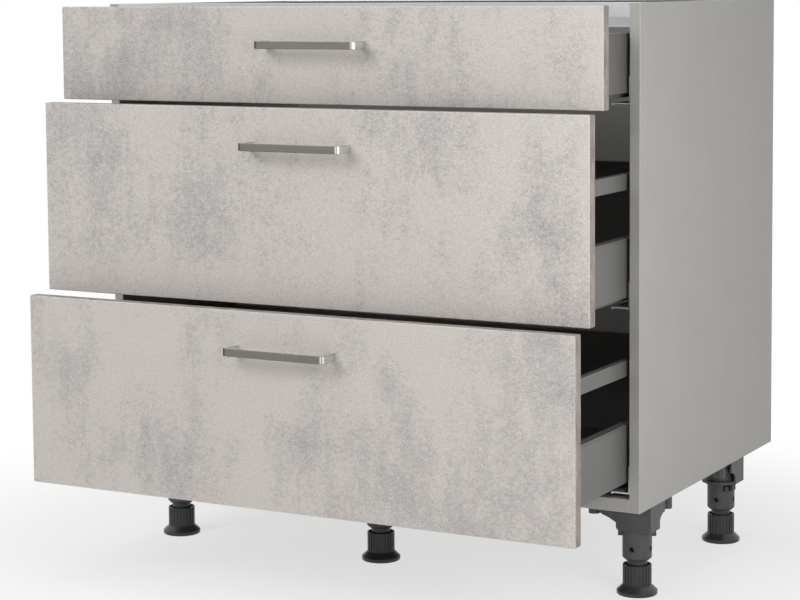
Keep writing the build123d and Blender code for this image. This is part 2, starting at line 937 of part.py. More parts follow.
def handle(drawer):
    """Bow handle: a flat bar turned back at both ends into two legs."""
    reach = handle_spacing / 2 + handle_leg / 2
    inside = reach - handle_leg
    outer = Pos(0, handle_projection / 2) * Rectangle(2 * reach, handle_projection)
    outer = fillet(outer.vertices().group_by(Axis.Y)[-1], handle_outer_radius)
    gap = handle_projection - handle_bar
    inner = Pos(0, gap / 2) * Rectangle(2 * inside, gap)
    inner = fillet(inner.vertices().group_by(Axis.Y)[-1], handle_inner_radius)
    bow = extrude(outer - inner, amount=handle_height / 2, both=True)
    upright = bow.edges().filter_by(Axis.Z)
    rounded = [edge for edge in bow.edges() if edge not in upright and edge.center().Y > handle_edge_radius]
    bow = fillet(rounded, handle_edge_radius)
    holes = [
        rod((side * handle_spacing / 2, 0, 0), (0, 1, 0), handle_screw_radius + screw_clearance,
            handle_screw_bite + screw_clearance)
        for side in (-1, 1)
    ]
    face = front_back - drawer.opened - front_thickness
    return Pos(0, face, drawer.handle_middle) * Rot(0, 0, 180) * (bow - holes)


def handle_screws(drawer):
    """Pan-headed screws that hold the handle from inside the front."""
    pieces = []
    length = front_thickness + handle_screw_bite
    for x, y, z in handle_screw_places(drawer):
        shank = rod((x, y, z), (0, -1, 0), handle_screw_radius, length)
        head = rod((x, y, z), (0, 1, 0), handle_screw_head_radius, handle_screw_head)
        pieces.append(shank + head)
    return group(pieces)


def drawer_side(drawer):
    """Right-hand drawer side: a folded hollow profile with a lip on top and a ledge for the base."""
    outer = side_gap
    sheet = side_sheet
    lip_start = side_top - side_lip_height
    groove_start = lip_start - side_groove_width
    outline = Polyline(
        (outer, side_lift),
        (outer, groove_start),
        (outer + side_groove_depth, groove_start),
        (outer + side_groove_depth, lip_start),
        (outer - side_lip_proud, lip_start),
        (outer - side_lip_proud, side_top),
        (side_inner, side_top),
        (side_inner, base_bottom),
        (side_inner + ledge_width, base_bottom),
        (side_inner + ledge_width, base_bottom - ledge_sheet),
        (side_inner, base_bottom - ledge_sheet),
        (side_inner, base_bottom - ledge_sheet - ledge_fold),
        (side_inner - sheet, base_bottom - ledge_sheet - ledge_fold),
        (side_inner - sheet, side_top - sheet),
        (outer + side_groove_depth + sheet, side_top - sheet),
        (outer + side_groove_depth + sheet, groove_start - sheet),
        (outer + sheet, groove_start - sheet),
        (outer + sheet, side_lift),
        close=True,
    )
    section = make_face(outline)
    section = fillet(section.vertices().group_by(Axis.Y)[-1], side_lip_radius)
    front = front_back - drawer.opened
    return along_runner(section, drawer, front, front + runner_length)


def drawer_floor(drawer):
    """Base board on the drawer sides' ledges, from the front to the rear wall."""
    front = front_back - drawer.opened
    return block(
        (-base_half_width, base_half_width),
        (front, front + runner_length - rear_wall),
        (drawer.runner + base_bottom, drawer.runner + base_top),
    )


def drawer_rear_wall(drawer):
    """Rear wall between the drawer sides, as high as the railings on a deep drawer."""
    height = rear_wall_height_deep if drawer.deep else rear_wall_height_shallow
    rear = front_back - drawer.opened + runner_length
    lower = drawer.runner + base_bottom
    return block((-base_half_width, base_half_width), (rear - rear_wall, rear), (lower, lower + height))


def front_brackets(drawer):
    """Brackets inside the drawer sides that hold the front."""
    room = (inner_face - side_inner + side_sheet, inner_face - side_gap - side_sheet)
    middle = sum(room) / 2
    front = front_back - drawer.opened
    lower = drawer.runner + hanger_top + bracket_margin
    upper = lower + bracket_height
    bracket = block(room, (front, front + bracket_foot), (lower, upper))
    tongue = (middle - bracket_tongue_width / 2, middle + bracket_tongue_width / 2)
    bracket += block(tongue, (front, front + bracket_tongue), (lower + bracket_margin, upper - bracket_margin))
    hole = (tongue[0], front + bracket_tongue / 2, (lower + upper) / 2)
    bracket -= rod(hole, (1, 0, 0), bracket_hole_radius, bracket_tongue_width)
    return both_sides(bracket)


def railing(drawer):
    """Right-hand railing: a flat tube with a foot on the front and a plug beside the rear wall."""
    front = front_back - drawer.opened
    rear = front + runner_length
    outer = side_gap
    inner = outer + railing_width
    middle = ((outer + inner) / 2, (railing_bottom + railing_top) / 2)
    tube = Pos(*middle) * RectangleRounded(railing_width, railing_height, railing_edge_radius)
    bore = Pos(*middle) * Rectangle(railing_width - 2 * railing_sheet, railing_height - 2 * railing_sheet)
    bar = along_runner(tube - bore, drawer, front + railing_foot, rear - railing_plug)
    foot_plate = strip((outer, inner), (railing_bottom - railing_foot_margin, railing_top))
    plug = strip((outer, side_inner), (railing_bottom, railing_top))
    bar += along_runner(foot_plate, drawer, front, front + railing_foot)
    return bar + along_runner(plug, drawer, rear - railing_plug, rear)


def main():
    """Build every node and write it."""
    os.makedirs("parts", exist_ok=True)
    side = side_panel()
    save("side_panel_right", side)
    save("side_panel_left", mirrored(side))
    save("bottom_panel", bottom_panel())
    save("back_panel", back_panel())
    save("front_rail", front_rail())
    save("rear_rail", rear_rail())
    save("dowels", dowels())
    save("cam_fittings", cam_fittings())
    save("rail_screws", rail_screws())
    save("runner_screws", runner_screws())
    save("leg_screws", leg_screws())
    for name in leg_places():
        if not name.endswith("middle"):
            save(f"leg_bracket_{name}", leg_bracket(name))
        save(f"foot_{name}", foot(name))
    middles = [leg_places()[name] for name in ("front_middle", "rear_middle")]
    save("leg_brackets_middle", group(Pos(x, y, carcass_bottom) * middle_bracket() for x, y in middles))
    save("leg_sleeves", group(sleeve(name) for name in leg_places()))
    for drawer in drawers:
        save(f"front_{drawer.name}", drawer_front(drawer))
        save(f"handle_{drawer.name}", handle(drawer))
        save(f"handle_screws_{drawer.name}", handle_screws(drawer))
        save(f"drawer_side_right_{drawer.name}", drawer_side(drawer))
        save(f"drawer_side_left_{drawer.name}", mirrored(drawer_side(drawer)))
        save(f"drawer_base_{drawer.name}", drawer_floor(drawer))
        save(f"rear_wall_{drawer.name}", drawer_rear_wall(drawer))
        save(f"front_brackets_{drawer.name}", front_brackets(drawer))
        if drawer.deep:
            save(f"railing_right_{drawer.name}", railing(drawer))
            save(f"railing_left_{drawer.name}", mirrored(railing(drawer)))
        save(f"runner_cabinet_{drawer.name}", cabinet_runner(drawer))
        save(f"runner_middle_{drawer.name}", middle_runner(drawer))
        save(f"runner_drawer_{drawer.name}", drawer_runner(drawer))


main()
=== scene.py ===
"""Looks of a kitchen base cabinet with three drawers: finishes, screws, light and camera.

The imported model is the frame, and all its shapes stay but those of the screws. This script gives
each board, profile and moulding the finish of the real one, makes the screws with their drives,
and sets up a pale studio. Lengths are in metres, as in the frame, unless a name ends in _mm. A
name that ends in _span holds the two values between which something changes.
"""

import json
import logging
import math
from dataclasses import dataclass, field
from enum import Enum

import bmesh
import bpy
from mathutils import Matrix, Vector


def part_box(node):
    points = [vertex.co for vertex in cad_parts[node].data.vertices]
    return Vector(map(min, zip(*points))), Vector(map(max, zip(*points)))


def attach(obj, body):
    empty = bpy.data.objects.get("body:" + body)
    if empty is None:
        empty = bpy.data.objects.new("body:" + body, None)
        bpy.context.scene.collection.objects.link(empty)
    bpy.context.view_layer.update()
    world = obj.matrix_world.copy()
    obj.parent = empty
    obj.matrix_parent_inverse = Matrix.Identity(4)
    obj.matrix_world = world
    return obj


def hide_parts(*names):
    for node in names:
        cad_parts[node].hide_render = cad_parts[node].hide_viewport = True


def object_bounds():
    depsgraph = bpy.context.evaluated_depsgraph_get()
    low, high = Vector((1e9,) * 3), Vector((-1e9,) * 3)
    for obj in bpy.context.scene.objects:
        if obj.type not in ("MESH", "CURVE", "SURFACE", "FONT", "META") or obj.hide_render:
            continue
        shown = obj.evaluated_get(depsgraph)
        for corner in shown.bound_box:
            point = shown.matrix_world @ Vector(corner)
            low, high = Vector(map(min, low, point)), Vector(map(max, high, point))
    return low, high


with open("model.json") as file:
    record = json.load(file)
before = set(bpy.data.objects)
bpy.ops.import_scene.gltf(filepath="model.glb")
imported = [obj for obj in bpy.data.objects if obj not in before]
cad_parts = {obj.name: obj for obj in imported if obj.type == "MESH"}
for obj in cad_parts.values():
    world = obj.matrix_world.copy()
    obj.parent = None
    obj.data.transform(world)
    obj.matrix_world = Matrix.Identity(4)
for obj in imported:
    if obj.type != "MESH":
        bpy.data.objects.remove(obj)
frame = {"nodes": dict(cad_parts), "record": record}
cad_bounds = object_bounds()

log = logging.getLogger("cabinet")

Tree = bpy.types.NodeTree
Node = bpy.types.Node
Socket = bpy.types.NodeSocket
Value = float | Socket
Paint = str | Socket
Pair = tuple[float, float]
Triple = tuple[float, float, float]

MM = 0.001
MIX_FACTOR, MIX_FIRST, MIX_SECOND, MIX_RESULT = 0, 6, 7, 2
LEVELS = ("top", "middle", "bottom")
DEEP_LEVELS = ("middle", "bottom")
SIDES = ("left", "right")
WHITE = "#ffffff"
WHOLE: Pair = (0.0, 1.0)

# Distances within which points of a solid are welded, lie level with a screw's head, and lie at
# the solid's end.
WELD = MM / 1000
HAIR = MM / 100
NEAR = MM / 10

# Where the round along a board's or bar's edge starts and ends, by how squarely the surface looks
# in the face's direction: zero on the edge and one on the face.
EDGE_TO_ROUND: Pair = (0.15, 0.35)
ROUND_TO_FACE: Pair = (0.9, 0.97)


# --- Colour and node helpers
def linear(hex_colour: str) -> tuple[float, float, float, float]:
    """Turn an sRGB hex colour to linear light.

    Args:
        hex_colour: Six hex digits with a leading #.

    Returns:
        Red, green, blue and an alpha of one.
    """
    toe, slope, offset, power = 0.04045, 12.92, 0.055, 2.4
    values = [int(hex_colour[start : start + 2], 16) / 255 for start in (1, 3, 5)]
    red, green, blue = (
        value / slope if value <= toe else ((value + offset) / (1 + offset)) ** power
        for value in values
    )
    return red, green, blue, 1.0


def add_node(tree: Tree, kind: str, inputs: dict | None = None, **settings) -> Node:
    """Add a node with its settings, values and links.

    Args:
        tree: Tree that gets the node.
        kind: Blender's type name of the node.
        inputs: Socket name or number to a value, or to the output socket that feeds it.
        **settings: Properties of the node itself.

    Returns:
        The new node.
    """
    node = tree.nodes.new(kind)
    for name, value in settings.items():
        setattr(node, name, value)
    for socket, value in (inputs or {}).items():
        if isinstance(value, Socket):
            tree.links.new(value, node.inputs[socket])
        else:
            node.inputs[socket].default_value = value
    return node


def calculate(tree: Tree, operation: str, *terms: Value) -> Socket:
    """Result of one of Blender's maths operations on its terms."""
    return add_node(tree, "ShaderNodeMath", dict(enumerate(terms)), operation=operation).outputs[0]


def remap(
    tree: Tree, value: Socket, given: Pair, wanted: tuple[Value, Value] = WHOLE, smooth: bool = False
) -> Socket:
    """Turn the values between two ends to those between two others, and hold them past the ends.

    Args:
        tree: Tree that gets the node.
        value: Value to turn.
        given: The two ends.
        wanted: What the value becomes at each end.
        smooth: Whether it eases in and out.

    Returns:
        The new value.
    """
    ends = {"From Min": given[0], "From Max": given[1], "To Min": wanted[0], "To Max": wanted[1]}
    easing = "SMOOTHSTEP" if smooth else "LINEAR"
    return add_node(
        tree, "ShaderNodeMapRange", {"Value": value, **ends}, interpolation_type=easing
    ).outputs[0]


def blend(tree: Tree, share: Value, first: Paint, second: Paint) -> Socket:
    """Mix two colours.

    Args:
        tree: Tree that gets the node.
        share: Share of the second colour.
        first: Hex colour, or the socket that gives a colour.
        second: Hex colour, or the socket that gives a colour.

    Returns:
        The mixed colour.
    """
    first, second = (linear(paint) if isinstance(paint, str) else paint for paint in (first, second))
    inputs = {MIX_FACTOR: share, MIX_FIRST: first, MIX_SECOND: second}
    return add_node(tree, "ShaderNodeMix", inputs, data_type="RGBA").outputs[MIX_RESULT]


def shade(tree: Tree, colour: Socket, brightness: Socket) -> Socket:
    """Colour at another brightness."""
    inputs = {0: colour, "Scale": brightness}
    return add_node(tree, "ShaderNodeVectorMath", inputs, operation="SCALE").outputs[0]


@dataclass(frozen=True)
class Surface:
    """A material in the making.

    Attributes:
        material: The material.
        shader: Its Principled node.
        output: Its output node.
        where: The object coordinates.
    """

    material: bpy.types.Material
    shader: Node
    output: Node
    where: Socket

    @property
    def tree(self) -> Tree:
        """Node tree of the material."""
        return self.material.node_tree

    def feed(self, name: str, source: Socket) -> None:
        """Link a source to one of the shader's inputs."""
        self.tree.links.new(source, self.shader.inputs[name])

    def facing(self, axis: str) -> Socket:
        """How far a place looks along an axis, from -1 to 1."""
        normal = add_node(self.tree, "ShaderNodeNewGeometry").outputs["Normal"]
        return add_node(self.tree, "ShaderNodeSeparateXYZ", {0: normal}).outputs[axis]


@dataclass(frozen=True)
class Grain:
    """A noise on a surface, such as clouds, flecks or brushed lines.

    Attributes:
        size_mm: Size of its features.
        detail: Its octaves.
        roughness: Weight of the finer octaves.
        scale: Scale of each coordinate. Less than one draws the features out along it.
    """

    size_mm: float
    detail: float = 2.0
    roughness: float = 0.5
    scale: Triple = (1.0, 1.0, 1.0)

    def draw(self, surface: Surface) -> Socket:
        """Draw the noise.

        Args:
            surface: Material in the making.

        Returns:
            Its height, which lies around a half.
        """
        inputs = {"Vector": surface.where, "Scale": self.scale}
        drawn_out = add_node(surface.tree, "ShaderNodeMapping", inputs).outputs[0]
        inputs = {
            "Vector": drawn_out,
            "Scale": 1 / (self.size_mm * MM),
            "Detail": self.detail,
            "Roughness": self.roughness,
        }
        return add_node(surface.tree, "ShaderNodeTexNoise", inputs).outputs["Fac"]


# --- Finishes
@dataclass(frozen=True)
class Finish:
    """A surface finish: what the real surface is made of and how it was made.

    Attributes:
        name: Name of the material.
        colour: Main sRGB colour.
        roughness: Roughness of the surface.
        metallic: Share of bare metal.
        ior: Index of refraction of the top layer.
        painted_arris_tone: Brightness of the small rounds along the edges beside the face's: a painted
            highlight above one and painted shade below one.
        gloss_span: What the roughness changes by between a noise's lowest and highest places.
        relief: Strength of the fine relief.
        relief_mm: Depth of the relief.
    """

    name: str
    colour: str
    roughness: float = 0.5
    metallic: float = 0.0
    ior: float = 1.5
    painted_arris_tone: float = 1.0
    gloss_span: Pair = (0.0, 0.0)
    relief: float = 0.0
    relief_mm: float = 0.0

    def surface(self) -> Surface:
        """Start the material with its plain shader.

        Returns:
            The material in the making.
        """
        material = bpy.data.materials.new(self.name)
        material.use_nodes = True
        tree = material.node_tree
        tree.nodes.clear()
        inputs = {
            "Base Color": linear(self.colour),
            "Roughness": self.roughness,
            "Metallic": self.metallic,
            "IOR": self.ior,
        }
        shader = add_node(tree, "ShaderNodeBsdfPrincipled", inputs)
        output = add_node(tree, "ShaderNodeOutputMaterial", {"Surface": shader.outputs["BSDF"]})
        where = add_node(tree, "ShaderNodeTexCoord").outputs["Object"]
        return Surface(material, shader, output, where)

    def painted_arris_tones(self, surface: Surface, flat: Socket) -> Socket:
        """Brightness that is one on a face and on its edges, and painted_arris_tone on the round
        between them, which paints a highlight there above one and shade below one.

        Args:
            surface: Material in the making.
            flat: How squarely a place looks in the face's direction, from zero to one.

        Returns:
            The brightness.
        """
        leaving = remap(surface.tree, flat, ROUND_TO_FACE, (self.painted_arris_tone, 1.0))
        return remap(surface.tree, flat, EDGE_TO_ROUND, (1.0, leaving))

    def roughen(self, surface: Surface, height: Socket) -> None:
        """Let the roughness follow a noise.

        Args:
            surface: Material in the making.
            height: Height of the noise.
        """
        low, high = (self.roughness + change for change in self.gloss_span)
        surface.feed("Roughness", remap(surface.tree, height, WHOLE, (low, high)))

    def emboss(self, surface: Surface, height: Socket) -> None:
        """Raise the surface by a noise.

        Args:
            surface: Material in the making.
            height: Height of the noise.
        """
        inputs = {"Height": height, "Strength": self.relief, "Distance": self.relief_mm * MM}
        surface.feed("Normal", add_node(surface.tree, "ShaderNodeBump", inputs).outputs[0])

    def paint(self, surface: Surface) -> None:
        """Draw what the plain shader lacks, which is nothing on a plain finish."""

    def material(self) -> bpy.types.Material:
        """Build the material.

        Returns:
            The finished material.
        """
        surface = self.surface()
        self.paint(surface)
        return surface.material


@dataclass(frozen=True)
class ConcreteDecor(Finish):
    """Melamine-faced board with a printed light concrete decor and a thick plastic edging.

    The print shows warm light grey with cooler patches, faint upright smears as if trowelled,
    and a sandy pepper that is stronger in the patches. The edging is a darker, browner strip, and
    the rounds along its arrises carry a painted highlight.

    Attributes:
        cool_colour: Colour of the cooler patches.
        deep_colour: Colour in the middle of the darkest patches.
        edge_colour: Colour of the edging.
        edge_dark_colour: Colour of the edging's streaks.
        clouds: The big patches.
        smears: The upright smears.
        smear_weight: How much they count beside the patches.
        flecks: Flecks that break up the patches.
        fleck_weight: How much they count beside the patches.
        cool_span: Sums of the three between which the cool colour comes in.
        deep_span: Sums between which the deep colour comes in.
        pepper: The sandy pepper, drawn about twice as coarse as the print's so that it shows.
        pepper_span: Heights of the pepper between which it goes from its lightest to its darkest.
        pepper_depth: How much it changes the brightness, outside the cool patches and in them.
        streaks: Streaks along the edging.
        streak_span: Heights of the streaks between which the dark colour comes in.
        face_span: How squarely a place looks to the front or back where the edging goes over into
            the print.
        pores: The fine relief of the print.
    """

    # A painted highlight on the rounds along the edges.
    painted_arris_tone: float = 1.12
    relief: float = 0.25
    relief_mm: float = 0.2
    cool_colour: str = "#b5b0ad"
    deep_colour: str = "#a6a19f"
    edge_colour: str = "#a89f97"
    edge_dark_colour: str = "#716862"
    clouds: Grain = Grain(230.0, 5.0, 0.65, (1.0, 1.0, 1 / 1.3))
    smears: Grain = Grain(30.0, 4.0, 0.65, (1.0, 1.0, 1 / 4))
    smear_weight: float = 0.35
    flecks: Grain = Grain(8.0, 6.0, 0.65, (1.0, 1.0, 1 / 0.7))
    fleck_weight: float = 0.55
    cool_span: Pair = (0.88, 1.09)
    deep_span: Pair = (1.02, 1.24)
    pepper: Grain = Grain(2.2, 2.0, 0.65)
    pepper_span: Pair = (0.3, 0.7)
    pepper_depth: Pair = (0.15, 0.27)
    streaks: Grain = Grain(14.0, 6.0, 0.75, (1.0, 1.0, 0.35))
    streak_span: Pair = (0.35, 0.68)
    face_span: Pair = (0.2, 0.4)
    pores: Grain = Grain(1.2, 3.0)

    def print_colour(self, surface: Surface) -> Socket:
        """Draw the concrete print.

        Args:
            surface: Material in the making.

        Returns:
            The colour of the print.
        """
        tree = surface.tree
        smears = self.smears.draw(surface)
        smeared = calculate(tree, "MULTIPLY_ADD", smears, self.smear_weight, self.clouds.draw(surface))
        sway = calculate(tree, "MULTIPLY_ADD", self.flecks.draw(surface), self.fleck_weight, smeared)
        cool = remap(tree, sway, self.cool_span, smooth=True)
        deep = remap(tree, sway, self.deep_span, smooth=True)
        patches = blend(tree, cool, self.colour, self.cool_colour)
        patches = blend(tree, deep, patches, self.deep_colour)
        pepper = remap(tree, self.pepper.draw(surface), self.pepper_span, (1.0, -1.0))
        depth = remap(tree, cool, WHOLE, self.pepper_depth)
        return shade(tree, patches, calculate(tree, "MULTIPLY_ADD", pepper, depth, 1.0))

    def paint(self, surface: Surface) -> None:
        """Draw the print on the faces, the edging on the edges, and the painted highlight on the
        rounds between them.

        Args:
            surface: Material in the making.
        """
        tree = surface.tree
        streaks = remap(tree, self.streaks.draw(surface), self.streak_span)
        edging = blend(tree, streaks, self.edge_colour, self.edge_dark_colour)
        flat = calculate(tree, "ABSOLUTE", surface.facing("Y"))
        both = blend(tree, remap(tree, flat, self.face_span), edging, self.print_colour(surface))
        # The rounds along the edges carry the painted arris tones, here a painted highlight.
        surface.feed("Base Color", shade(tree, both, self.painted_arris_tones(surface, flat)))
        self.emboss(surface, self.pores.draw(surface))


@dataclass(frozen=True)
class Melamine(Finish):
    """Melamine-faced board in one colour: a resin film with the fine pearl of its press plate.

    Attributes:
        shade_colour: Colour of the faint cloudiness of the film.
        painted_edge_shade: Painted shade on the plastic edging of the front edges, as a brightness
            beside the film's.
        clouds: The cloudiness.
        cloud_span: Heights of the clouds between which their colour comes in.
        pearl: The pearl, drawn about twice as coarse as it is so that it shows.
        pearl_span: Heights of the pearl between which its tone changes.
        painted_pearl_shading: Painted shade in its pits and painted light on its tops.
    """

    relief: float = 0.3
    relief_mm: float = 0.08
    shade_colour: str = "#aaa8a3"
    painted_edge_shade: float = 1.0
    clouds: Grain = Grain(60.0, 5.0, 0.65)
    cloud_span: Pair = (0.35, 0.7)
    pearl: Grain = Grain(1.6)
    pearl_span: Pair = (0.3, 0.7)
    painted_pearl_shading: Pair = (0.965, 1.03)

    def film(self, surface: Surface, pearl: Socket) -> Socket:
        """Draw the film, with painted shade on the edges that look to the front and the painted arris
        tones on their rounds.

        Args:
            surface: Material in the making.
            pearl: Height of the pearl.

        Returns:
            The colour of both.
        """
        tree = surface.tree
        share = remap(tree, self.clouds.draw(surface), self.cloud_span)
        film = blend(tree, share, self.colour, self.shade_colour)
        # Painted shade in the pearl's pits and painted light on its tops.
        film = shade(tree, film, remap(tree, pearl, self.pearl_span, self.painted_pearl_shading))
        # Painted shade on the edges that look to the front, and the painted arris tones on their
        # rounds.
        to_front = calculate(tree, "MULTIPLY", surface.facing("Y"), -1.0)
        film = shade(tree, film, remap(tree, to_front, ROUND_TO_FACE, (1.0, self.painted_edge_shade)))
        return shade(tree, film, self.painted_arris_tones(surface, to_front))

    def paint(self, surface: Surface) -> None:
        """Draw the film with its pearl.

        Args:
            surface: Material in the making.
        """
        pearl = self.pearl.draw(surface)
        surface.feed("Base Color", self.film(surface, pearl))
        self.emboss(surface, pearl)


@dataclass(frozen=True)
class Fibreboard(Melamine):
    """Thin hard fibreboard: lacquered on its inner face and raw, brown and fibrous on the outer one.

    Attributes:
        raw_colour: Colour of the raw side.
        raw_dark_colour: Colour of its darker fibres.
        fibres: The fibres.
        outward: How far a place has to look to the back to lie on the raw side.
    """

    raw_colour: str = "#8d7355"
    raw_dark_colour: str = "#6f583f"
    fibres: Grain = Grain(5.0, 8.0, 0.75)
    outward: float = 0.5

    def film(self, surface: Surface, pearl: Socket) -> Socket:
        """Draw the lacquer, and the raw board on the side that looks to the back.

        Args:
            surface: Material in the making.
            pearl: Height of the lacquer's pearl.

        Returns:
            The colour of both.
        """
        lacquer = super().film(surface, pearl)
        raw = blend(surface.tree, self.fibres.draw(surface), self.raw_colour, self.raw_dark_colour)
        to_back = calculate(surface.tree, "GREATER_THAN", surface.facing("Y"), self.outward)
        return blend(surface.tree, to_back, lacquer, raw)


@dataclass(frozen=True)
class PowderCoat(Finish):
    """Powder-coated sheet steel: an even satin film with the orange peel of the melted powder.

    Attributes:
        peel: Dimples of the orange peel.
        patches: Slow change of its gloss.
    """

    gloss_span: Pair = (-0.06, 0.06)
    relief: float = 0.25
    relief_mm: float = 0.1
    peel: Grain = Grain(1.8)
    patches: Grain = Grain(90.0, 4.0)

    def paint(self, surface: Surface) -> None:
        """Draw the orange peel and the gloss."""
        self.emboss(surface, self.peel.draw(surface))
        self.roughen(surface, self.patches.draw(surface))


@dataclass(frozen=True)
class ZincPlate(Finish):
    """Zinc or zinc-plated steel: pale metal with soft clouds and drawing lines along the strip.

    Attributes:
        dull_colour: Colour of the duller clouds.
        clouds: The clouds.
        line_mm: Distance between drawing lines, drawn coarser than they are so that they show.
        along: Scale of each coordinate, which draws the lines out along the strip. With ones alone
            they are an even grain.
        painted_end_shade: Painted shade on the ends that look to the front, partly the duller cut
            steel.
        shaded_ends_from: Place along Y behind which these ends lie.
    """

    gloss_span: Pair = (-0.1, 0.12)
    relief: float = 0.15
    relief_mm: float = 0.03
    dull_colour: str = "#8d8f91"
    clouds: Grain = Grain(25.0, 4.0)
    line_mm: float = 0.8
    along: Triple = (1.0, 1.0, 1.0)
    painted_end_shade: float = 1.0
    shaded_ends_from: float = 0.0

    def paint(self, surface: Surface) -> None:
        """Draw the clouds, the painted shade on the ends that look to the front, and the lines.

        Args:
            surface: Material in the making.
        """
        tree = surface.tree
        zinc = blend(tree, self.clouds.draw(surface), self.colour, self.dull_colour)
        # Painted shade, partly the duller cut steel, on the ends that look to the front behind
        # shaded_ends_from.
        to_front = calculate(tree, "LESS_THAN", surface.facing("Y"), -ROUND_TO_FACE[0])
        depth = add_node(tree, "ShaderNodeSeparateXYZ", {0: surface.where}).outputs["Y"]
        behind = calculate(tree, "GREATER_THAN", depth, self.shaded_ends_from)
        shaded_ends = calculate(tree, "MULTIPLY", to_front, behind)
        tone = remap(tree, shaded_ends, WHOLE, (1.0, self.painted_end_shade))
        surface.feed("Base Color", shade(tree, zinc, tone))
        lines = Grain(self.line_mm, scale=self.along).draw(surface)
        self.roughen(surface, lines)
        self.emboss(surface, lines)


@dataclass(frozen=True)
class BrushedNickel(Finish):
    """Brushed and nickel-plated metal, with fine lines along the bar.

    The tones by direction are painted light and shade, set to the look of the real handles in their
    own light: a painted highlight on what looks up or to the right, painted shade on what looks to
    the left, and painted dark lines across the bend and along the arrises. They stay the same from
    every side.

    Attributes:
        light_colour: Colour of the brushing's lighter lines.
        lines: The brushed lines, drawn twice as coarse as they are so that they show.
        painted_highlight_colour: Colour of the painted highlight on what looks up or to the right.
        right_span: How far a place looks to the right between the bar's colour and that one.
        painted_shade_tone: Brightness of the painted shade on what looks to the left beside the bar's.
        left_span: How far a place looks to the right between that brightness and the bar's.
        painted_dark_line: How far to the right a bend looks where a painted dark line crosses it.
        painted_dark_line_half: Half the line's width in the same measure.
    """

    # Painted dark lines on the rounds along the arrises and across the bend.
    painted_arris_tone: float = 0.35
    gloss_span: Pair = (-0.08, 0.1)
    relief: float = 0.35
    relief_mm: float = 0.04
    light_colour: str = "#858279"
    lines: Grain = Grain(0.7, 3.0, 0.7, (0.012, 0.012, 1.0))
    painted_highlight_colour: str = "#dcdbd9"
    right_span: Pair = (0.15, 0.45)
    painted_shade_tone: float = 0.15
    left_span: Pair = (-0.45, -0.1)
    painted_dark_line: float = 0.62
    painted_dark_line_half: float = 0.06

    def paint(self, surface: Surface) -> None:
        """Draw the brushing, and the painted highlight and shade by direction.

        Args:
            surface: Material in the making.
        """
        tree = surface.tree
        lines = self.lines.draw(surface)
        bar = blend(tree, lines, self.colour, self.light_colour)
        to_right = surface.facing("X")
        up = surface.facing("Z")
        # Painted highlight: what looks to the right or up takes the pale painted_highlight_colour.
        sides = remap(tree, to_right, self.right_span)
        arms = calculate(tree, "MAXIMUM", sides, remap(tree, up, ROUND_TO_FACE))
        both = blend(tree, arms, bar, self.painted_highlight_colour)
        # Painted shade on what looks to the left, and a painted dark line across the bend.
        far = remap(tree, to_right, self.left_span, (self.painted_shade_tone, 1.0))
        on_painted_dark_line = calculate(tree, "COMPARE", to_right, self.painted_dark_line, self.painted_dark_line_half)
        painted_dark_line_tone = remap(tree, on_painted_dark_line, WHOLE, (1.0, self.painted_arris_tone))
        painted_bend_tones = calculate(tree, "MULTIPLY", far, painted_dark_line_tone)
        # Painted dark lines on the rounds along the top and bottom arrises.
        painted_arris_tones = self.painted_arris_tones(surface, calculate(tree, "ABSOLUTE", up))
        surface.feed("Base Color", shade(tree, both, calculate(tree, "MULTIPLY", painted_arris_tones, painted_bend_tones)))
        self.roughen(surface, lines)
        self.emboss(surface, lines)


@dataclass(frozen=True)
class MouldedPlastic(Finish):
    """Injection-moulded plastic with the fine spark-eroded grain of its mould.

    Attributes:
        worn_colour: Paler colour of rubbed and flow-marked places.
        flow: The flow marks.
        flow_span: Heights of the flow marks between which the paler colour comes in.
        grain: The grain, drawn coarser than it is so that it shows.
    """

    gloss_span: Pair = (-0.1, 0.1)
    relief: float = 0.3
    relief_mm: float = 0.06
    worn_colour: str = "#5a5a5b"
    flow: Grain = Grain(18.0, 4.0, 0.6)
    flow_span: Pair = (0.45, 0.85)
    grain: Grain = Grain(0.9)

    def paint(self, surface: Surface) -> None:
        """Draw the flow marks and the grain.

        Args:
            surface: Material in the making.
        """
        worn = remap(surface.tree, self.flow.draw(surface), self.flow_span)
        surface.feed("Base Color", blend(surface.tree, worn, self.colour, self.worn_colour))
        grain = self.grain.draw(surface)
        self.roughen(surface, grain)
        self.emboss(surface, grain)


@dataclass(frozen=True)
class Beech(Finish):
    """Turned beech: pale warm wood with short dark flecks along the grain.

    Attributes:
        fleck_colour: Colour of the flecks.
        flecks: The flecks, drawn out along X.
    """

    fleck_colour: str = "#b58d5f"
    flecks: Grain = Grain(1.5, 4.0, scale=(0.12, 1.0, 1.0))

    def paint(self, surface: Surface) -> None:
        """Draw the flecks."""
        flecks = self.flecks.draw(surface)
        surface.feed("Base Color", blend(surface.tree, flecks, self.colour, self.fleck_colour))


# A face that looks to the front gets painted shade, partly the duller steel of a cut end, where it
# lies this far behind the fixed runners' front ends.
SHADED_ENDS_BEHIND = 20 * MM

CONCRETE_BOARD = ConcreteDecor("melamine board light concrete", "#c6c0bb")
# The carcass board's front edges get painted shade, and the rounds along them a painted highlight.
CARCASS_BOARD = Melamine(
    "melamine board grey", "#aeaca7", roughness=0.42, painted_edge_shade=0.92, painted_arris_tone=1.15
)
DRAWER_BOARD = Melamine("melamine board dark grey", "#807d7b", shade_colour="#797674")
BACK_BOARD = Fibreboard("hard fibreboard", "#d6d5d3", shade_colour="#d0cfcd")
DRAWER_STEEL = PowderCoat("powder-coated steel silver grey", "#656462", roughness=0.42)
